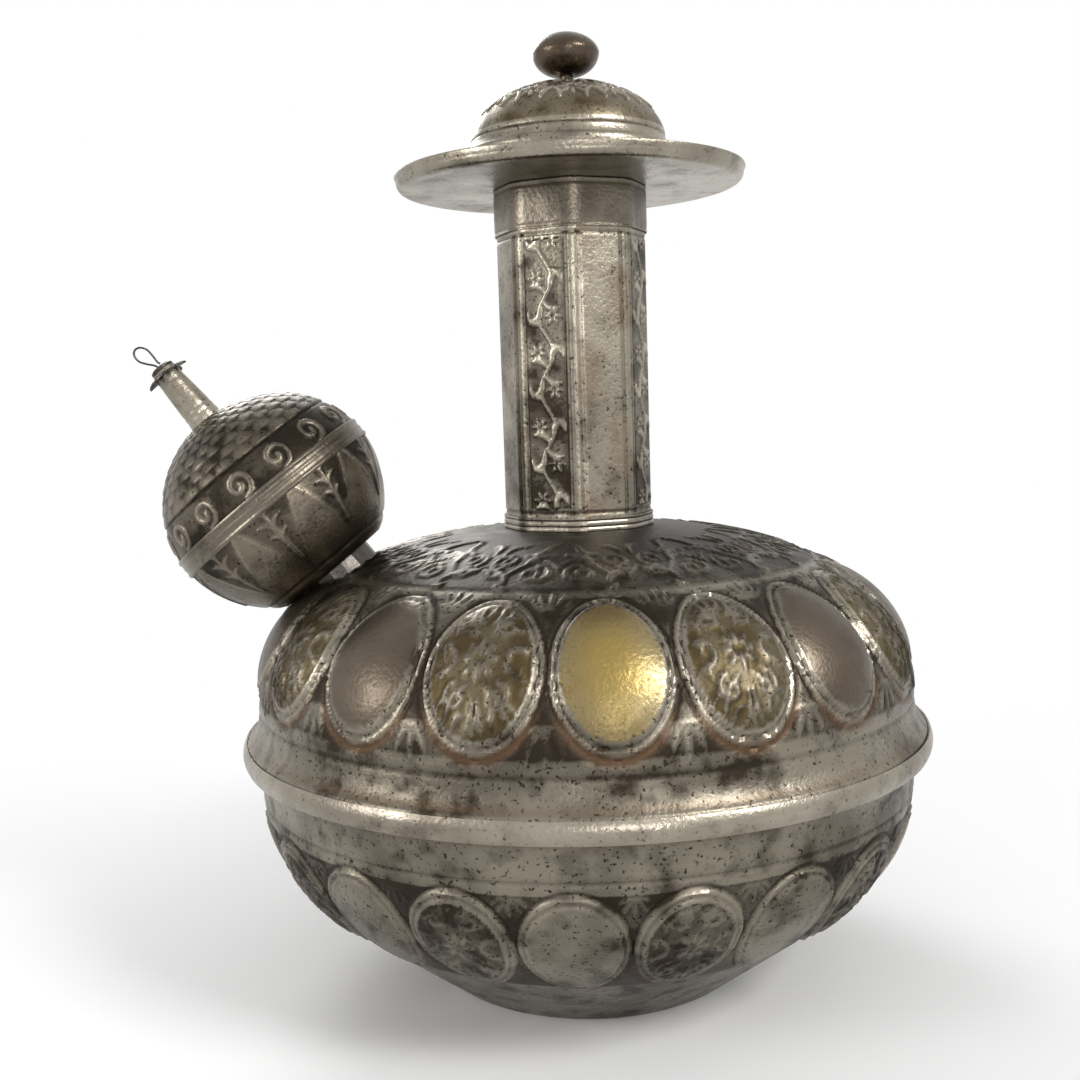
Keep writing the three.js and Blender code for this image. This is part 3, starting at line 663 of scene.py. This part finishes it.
# The plate colours are darker than clean silver: tarnishing, and painted shade for the dark room that
# the metal reflects.
plate = metal(
    "aged silver plate",
    silver=(0.345, 0.31, 0.245), tarnish_and_reflection_colour=(0.032, 0.025, 0.018), rough=0.27, pits=0.85, worn=True,
)
smooth_plate = metal(
    "smooth silver plate",
    silver=(0.345, 0.31, 0.25), tarnish_and_reflection_colour=(0.06, 0.047, 0.034), rough=0.26, pits=0.6,
)
dark_plate = metal(
    "dark spout plate",
    silver=(0.235, 0.2, 0.155), tarnish_and_reflection_colour=(0.022, 0.018, 0.013), rough=0.29, pits=0.6, worn=True,
)
band_plate = metal(
    "darkened band plate",
    silver=(0.19, 0.165, 0.13), tarnish_and_reflection_colour=(0.04, 0.032, 0.024), rough=0.29, pits=0.5,
)
brown = metal(
    "brown worn plate",
    silver=(0.11, 0.085, 0.062), tarnish_and_reflection_colour=(0.03, 0.022, 0.016), rough=0.24, pits=0.4,
)
# Near-black metal for the small fittings, and painted shade on the root tube in the gap under the bulb.
wire_and_gap_shade = metal(
    "dull wire metal",
    silver=(0.1, 0.09, 0.08), tarnish_and_reflection_colour=(0.03, 0.026, 0.022), rough=0.38, pits=0.3,
)


def finish(piece, body, slot, material, *nodes):
    """Gives a piece its material and body, in place of the construction's nodes. Its slot is not used.
    """
    piece.data.materials.append(material)
    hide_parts(*nodes)
    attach(piece, body)


def make_bowl():
    """The base's turned-in edge, the cone, the round of the bowl, the flare and the lap."""
    z = np.linspace(CONE_HEIGHT, SEAM_BOTTOM - FLARE_HEIGHT, 70)
    cone = np.linspace(0, CONE_HEIGHT, 14)[:-1]
    cone_r = np.interp(cone, [0, CONE_HEIGHT], [BASE_RADIUS, bowl_radius(CONE_HEIGHT)])
    lap = SEAM_RADIUS - SHEET - SOLDER_GAP
    start = (float(bowl_radius(z[-1])), z[-1])
    flare = band_points(start, (start[0], SEAM_BOTTOM - FLARE_DRAW), (lap, SEAM_BOTTOM), 12)[1:]
    r = np.concatenate([[BASE_RADIUS - BASE_TURN_IN], cone_r, bowl_radius(z), flare[:, 0], [lap]])
    level = np.concatenate([[0.0], cone, z, flare[:, 1], [SEAM_BOTTOM + LAP_HEIGHT]])
    piece = turned("bowl_surface", r, level, SHEET, BOWL_COLUMNS, medallion_relief)
    finish(piece, "pot", "aged_silver", plate, "lower_bowl")


def make_shoulder():
    """The flare above the seam, the shoulder's curve and the flat ring around the mouth."""
    first = SEAM_BOTTOM + GIRDLE_HEIGHT + FLARE_HEIGHT
    top = (float(shoulder_radius(first)), first)
    seam = (SEAM_RADIUS, SEAM_BOTTOM + GIRDLE_HEIGHT)
    flare = band_points(seam, (top[0], seam[1] + FLARE_DRAW), top, 12)
    start_angle = math.asin(((first - SHOULDER_START) / SHOULDER_RISE) ** (SHOULDER_POWER / 2))
    end_angle = math.acos((SHOULDER_END / BODY_RADIUS) ** (SHOULDER_POWER / 2))
    angle = np.linspace(start_angle, end_angle, 84)[1:]
    z = SHOULDER_START + SHOULDER_RISE * np.sin(angle) ** (2 / SHOULDER_POWER)
    r = BODY_RADIUS * np.cos(angle) ** (2 / SHOULDER_POWER)
    r = np.concatenate([[SEAM_RADIUS], flare[:, 0], r, [MOUTH_RADIUS]])
    z = np.concatenate([[SEAM_BOTTOM + SOLDER_GAP], flare[:, 1], z, [z[-1]]])
    piece = turned("shoulder_surface", r, z, SHEET, SHOULDER_COLUMNS, shoulder_relief)
    finish(piece, "pot", "aged_silver", plate, "upper_shell")


def make_girdle():
    """A round band over the seam, as wide as the construction's."""
    top = SEAM_BOTTOM + GIRDLE_HEIGHT
    edge = SEAM_RADIUS + GIRDLE_STAND
    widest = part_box("girdle_band")[1][0] / MM
    crown = (2 * widest - edge, SEAM_BOTTOM + GIRDLE_HEIGHT / 2)
    face = band_points((edge, SEAM_BOTTOM), crown, (edge, top), 15)
    piece = turned("girdle_ring", face[:, 0], face[:, 1], GIRDLE_SHEET, GIRDLE_COLUMNS, inner_rows=3)
    finish(piece, "pot", "aged_silver", smooth_plate, "girdle_band")


def make_neck():
    """The eight-sided tube and the two bands around its ends."""
    z = np.linspace(NECK_BOTTOM, NECK_TOP, 210)
    r = np.full_like(z, NECK_APOTHEM)
    piece = turned("neck_panels", r, z, SHEET, NECK_COLUMNS, neck_relief, neck_scale)
    finish(piece, "pot", "aged_silver", plate, "neck_tube")
    for name, node, bottom, top, material in (
        ("neck_foot_band", "neck_base_collar", NECK_BOTTOM, FOOT_BAND_TOP, smooth_plate),
        ("neck_head_band", "neck_top_collar", HEAD_BAND_BOTTOM, NECK_TOP, band_plate),
    ):
        z = np.linspace(bottom, top, 30)
        lines = ridge(z - bottom - 1.1, 0.3) + ridge(z - top + 1.1, 0.3)
        r = NECK_APOTHEM + BAND_STAND - 0.22 * lines
        piece = turned(name, r, z, BAND_SHEET, NECK_COLUMNS, None, neck_scale, inner_rows=3)
        finish(piece, "pot", "aged_silver", material, node)


def make_brim():
    """A flat ring that bends up into a short rim, as wide and high as the construction's."""
    low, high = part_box("brim")
    bottom, top, rim = low[2] / MM, high[2] / MM, high[0] / MM
    wall = rim - BRIM_LIP
    flat = np.linspace(MOUTH_RADIUS, rim - BRIM_BEND, 24)[:-1]
    bend = band_points((rim - BRIM_BEND, bottom), (wall, bottom), (wall, bottom + BRIM_BEND_RISE), 12)
    r = np.concatenate([flat, bend[:, 0], [rim, rim - 0.2]])
    z = np.concatenate([np.full_like(flat, bottom), bend[:, 1], [top - BRIM_LIP, top]])
    piece = turned("brim_tray", r, z, BRIM_SHEET, BRIM_COLUMNS, inner_rows=len(r))
    finish(piece, "pot", "aged_silver", smooth_plate, "brim")


def make_lid():
    """The foot's edge and waist, the bead, and the elliptic dome up to the knob's stem."""
    low = BRIM_TOP + LID_GAP
    waist = (LID_WAIST_RADIUS, low + LID_WAIST_HEIGHT)
    foot_start = (LID_RADIUS, low + LID_EDGE)
    foot = band_points(foot_start, (LID_WAIST_RADIUS, low + LID_EDGE), waist, 14)
    bead_end = (BEAD_TOP_RADIUS, BRIM_TOP + BEAD_TOP)
    bead = band_points(waist, (BEAD_RADIUS, BRIM_TOP + BEAD_TOP), bead_end, 12)[1:]
    angle = np.linspace(0, math.acos(STEM_RADIUS / DOME_RADIUS), 70)
    dome_r = DOME_RADIUS * np.cos(angle)
    dome_z = BRIM_TOP + DOME_LIFT + DOME_RISE * np.sin(angle)
    r = np.concatenate([[LID_RADIUS], foot[:, 0], bead[:, 0], dome_r])
    z = np.concatenate([[low], foot[:, 1], bead[:, 1], dome_z])
    piece = turned("lid_surface", r, z, SHEET, LID_COLUMNS, dome_relief)
    finish(piece, "lid", "aged_silver", plate, "lid_dome")


def make_knob():
    """The cup, and the cap: a curve of four points that leaves the seam upwards and ends level."""
    low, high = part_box("knob_cup")
    bottom, seam, radius = low[2] / MM, high[2] / MM, high[1] / MM
    cup = band_points((KNOB_FOOT_RADIUS, bottom), (radius - 0.6, bottom + 1.6), (radius, seam), 22)
    r = np.concatenate([[STEM_RADIUS], cup[:, 0]])
    z = np.concatenate([[bottom], cup[:, 1]])
    piece = turned("knob_bowl", r, z, THIN_SHEET, KNOB_COLUMNS)
    finish(piece, "lid", "brown_plate", brown, "knob_cup")
    low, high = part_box("knob_cap")
    bottom, top = low[2] / MM, high[2] / MM
    t = np.linspace(0, 1, 26)[:, None]
    cap = (1 - t) ** 3 * np.array((radius, bottom))
    cap = cap + 3 * t * (1 - t) ** 2 * np.array((radius - 0.4, bottom + 3))
    cap = cap + 3 * t**2 * (1 - t) * np.array((5.6, top))
    cap = cap + t**3 * np.array((0.02, top))
    piece = turned("knob_crown", cap[:, 0], cap[:, 1], THIN_SHEET, KNOB_COLUMNS)
    finish(piece, "lid", "brown_plate", brown, "knob_cap")


def spout_place():
    """Spout frame to pot frame: +Z turned onto the spout's axis, from the middle of the bulb."""
    low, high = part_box("bulb_band")
    middle = (Vector(low) + Vector(high)) / 2
    turn = Matrix.Rotation(-(math.pi / 2 - SPOUT_TILT), 4, "Y")
    return Matrix.Translation(middle) @ turn


def make_spout():
    """The bulb's two halves and its band, and the tapered tube, in the spout's frame."""
    place = spout_place()
    back = np.linspace(math.asin(BULB_BACK_ROUND / BULB_RADIUS), 0, 64)
    wall_r, wall_z = BULB_RADIUS * np.cos(back), -BULB_RADIUS * np.sin(back) - BULB_SEAM
    r = np.concatenate([[ROOT_HOLE_RADIUS, wall_r[0] - 2], wall_r])
    z = np.concatenate([[-BULB_BACK, -BULB_BACK], wall_z])
    piece = turned("bulb_back_surface", r, z, SHEET, BULB_COLUMNS, bulb_back_relief, place=place)
    finish(piece, "pot", "aged_silver", dark_plate, "bulb_back_half")
    angle = np.linspace(0, math.acos(TUBE_HOLE_RADIUS / BULB_RADIUS), 90)
    r, z = BULB_RADIUS * np.cos(angle), BULB_FRONT * np.sin(angle) + BULB_SEAM
    piece = turned("bulb_front_surface", r, z, SHEET, BULB_COLUMNS, bulb_front_relief, place=place)
    finish(piece, "pot", "dark_silver", dark_plate, "bulb_front_half")
    z = np.linspace(-BULB_BAND_HALF, BULB_BAND_HALF, 41)
    beads = ridge(np.abs(z) - 2.3, 0.55) + 0.5 * ridge(z, 0.5)
    r = BULB_RADIUS + BULB_BAND_STAND + 0.36 * beads
    piece = turned("bulb_ring", r, z, BULB_BAND_SHEET, BULB_BAND_COLUMNS, place=place, inner_rows=3)
    finish(piece, "pot", "aged_silver", band_plate, "bulb_band")
    z = np.linspace(TUBE_BOTTOM, TUBE_TOP, 60)
    taper = [TUBE_BOTTOM, TUBE_TAPER_START, TUBE_TOP]
    r = np.interp(z, taper, [TUBE_ROOT_RADIUS, TUBE_ROOT_RADIUS, TUBE_TIP_RADIUS])
    r = r - 0.12 * sum(ridge(z - line, 0.4) for line in TUBE_LINES)
    piece = turned("tube_surface", r, z, THIN_SHEET, TUBE_COLUMNS, place=place)
    finish(piece, "pot", "aged_silver", smooth_plate, "spout_tube")


def dress_frame():
    """The pieces whose own shape is right get their finish."""
    for node, material in (
        ("base_plate", smooth_plate),
        ("lid_bezel", smooth_plate),
        ("lid_base_ring", smooth_plate),
        ("knob_washer", smooth_plate),
        ("knob_stem", brown),
        # The root tube's near-black metal is painted shade in the gap between the bulb and the
        # shoulder.
        ("spout_root_tube", wire_and_gap_shade),
        ("tip_petals", wire_and_gap_shade),
        ("stopper_plug", wire_and_gap_shade),
        ("stopper_loop", wire_and_gap_shade),
    ):
        data = NODES[node].data
        data.materials.clear()
        data.materials.append(material)


def make_camera():
    """The camera looks ahead by its yaw and fall, rolls, and is turned with its place about the
    pot's axis."""
    spin = Matrix.Rotation(CAMERA_TURN, 3, "Z")
    level = math.cos(CAMERA_FALL)
    ahead = Vector((math.sin(CAMERA_YAW) * level, math.cos(CAMERA_YAW) * level, -math.sin(CAMERA_FALL)))
    side = Vector((math.cos(CAMERA_YAW), -math.sin(CAMERA_YAW), 0))
    over = side.cross(ahead)
    right = spin @ (side * math.cos(CAMERA_ROLL) + over * math.sin(CAMERA_ROLL))
    up = spin @ (over * math.cos(CAMERA_ROLL) - side * math.sin(CAMERA_ROLL))
    back = -(spin @ ahead)
    data = bpy.data.cameras.new("camera")
    data.sensor_width = CAMERA_SENSOR
    data.lens = CAMERA_LENS
    camera = bpy.data.objects.new("camera", data)
    bpy.context.scene.collection.objects.link(camera)
    matrix = Matrix((right, up, back)).transposed().to_4x4()
    matrix.translation = spin @ Vector(CAMERA_PLACE)
    camera.matrix_world = matrix
    bpy.context.scene.camera = camera


def make_light(name, place, size, power):
    """A square soft light that faces the pot."""
    data = bpy.data.lights.new(name, "AREA")
    data.size = size
    data.energy = power
    lamp = bpy.data.objects.new(name, data)
    lamp.location = place
    lamp.rotation_euler = (Vector(LIGHT_TARGET) - Vector(place)).to_track_quat("-Z", "Y").to_euler()
    bpy.context.scene.collection.objects.link(lamp)


def background_rays(tree):
    """1 where the ray is the camera's, or a reflection or a passage of what it sees."""
    path = tree.nodes.new("ShaderNodeLightPath")
    total = path.outputs["Is Camera Ray"]
    for kind in ("Is Glossy Ray", "Is Transmission Ray"):
        both = tree.nodes.new("ShaderNodeMath")
        both.operation = "MAXIMUM"
        link(tree, total, both.inputs[0])
        link(tree, path.outputs[kind], both.inputs[1])
        total = both.outputs[0]
    return total


def floor_material():
    """Matt white that turns to glowing white away from the pot."""
    material = bpy.data.materials.new("floor white")
    material.use_nodes = True
    tree = material.node_tree
    nodes = tree.nodes
    output = nodes["Material Output"]
    shader = nodes["Principled BSDF"]
    shader.inputs["Base Color"].default_value = FLOOR_COLOUR
    shader.inputs["Roughness"].default_value = 0.9
    glow = nodes.new("ShaderNodeEmission")
    place = nodes.new("ShaderNodeTexCoord")
    distance = nodes.new("ShaderNodeVectorMath")
    distance.operation = "LENGTH"
    fade = nodes.new("ShaderNodeMapRange")
    fade.inputs["From Min"].default_value, fade.inputs["From Max"].default_value = FLOOR_FADE
    both = nodes.new("ShaderNodeMath")
    both.operation = "MULTIPLY"
    mix = nodes.new("ShaderNodeMixShader")
    link(tree, place.outputs["Object"], distance.inputs[0])
    link(tree, distance.outputs["Value"], fade.inputs["Value"])
    link(tree, fade.outputs["Result"], both.inputs[0])
    link(tree, background_rays(tree), both.inputs[1])
    link(tree, both.outputs[0], mix.inputs["Fac"])
    link(tree, shader.outputs["BSDF"], mix.inputs[1])
    link(tree, glow.outputs["Emission"], mix.inputs[2])
    link(tree, mix.outputs["Shader"], output.inputs["Surface"])
    return material


def make_floor():
    """A wide flat floor that takes the shadow."""
    corners = [(-1, -1), (1, -1), (1, 1), (-1, 1)]
    mesh = bpy.data.meshes.new("floor")
    mesh.from_pydata([(FLOOR_REACH * x, FLOOR_REACH * y, 0) for x, y in corners], [], [(0, 1, 2, 3)])
    floor = bpy.data.objects.new("floor", mesh)
    bpy.context.scene.collection.objects.link(floor)
    mesh.materials.append(floor_material())


def make_world():
    """A grey sky, lighter upwards. What background_rays names sees plain white instead."""
    world = bpy.data.worlds.new("studio")
    bpy.context.scene.world = world
    world.use_nodes = True
    tree = world.node_tree
    nodes = tree.nodes
    background = nodes["Background"]
    place = nodes.new("ShaderNodeTexCoord")
    parts = nodes.new("ShaderNodeSeparateXYZ")
    ramp = nodes.new("ShaderNodeValToRGB")
    low, high = ramp.color_ramp.elements
    low.position, low.color = 0.35, SKY_LOW
    high.position, high.color = 0.95, SKY_HIGH
    raise_half = nodes.new("ShaderNodeMapRange")
    raise_half.inputs["From Min"].default_value = -1
    mix = nodes.new("ShaderNodeMix")
    mix.data_type = "RGBA"
    mix.inputs["B"].default_value = (1, 1, 1, 1)
    link(tree, place.outputs["Generated"], parts.inputs[0])
    link(tree, parts.outputs["Z"], raise_half.inputs["Value"])
    link(tree, raise_half.outputs["Result"], ramp.inputs["Fac"])
    link(tree, ramp.outputs["Color"], mix.inputs["A"])
    link(tree, background_rays(tree), mix.inputs["Factor"])
    link(tree, mix.outputs["Result"], background.inputs["Color"])


make_camera()
bpy.context.scene.view_settings.view_transform = "Standard"
make_floor()
make_world()
for light in LIGHTS:
    make_light(*light)
dress_frame()
make_bowl()
make_shoulder()
make_girdle()
make_neck()
make_brim()
make_lid()
make_knob()
make_spout()
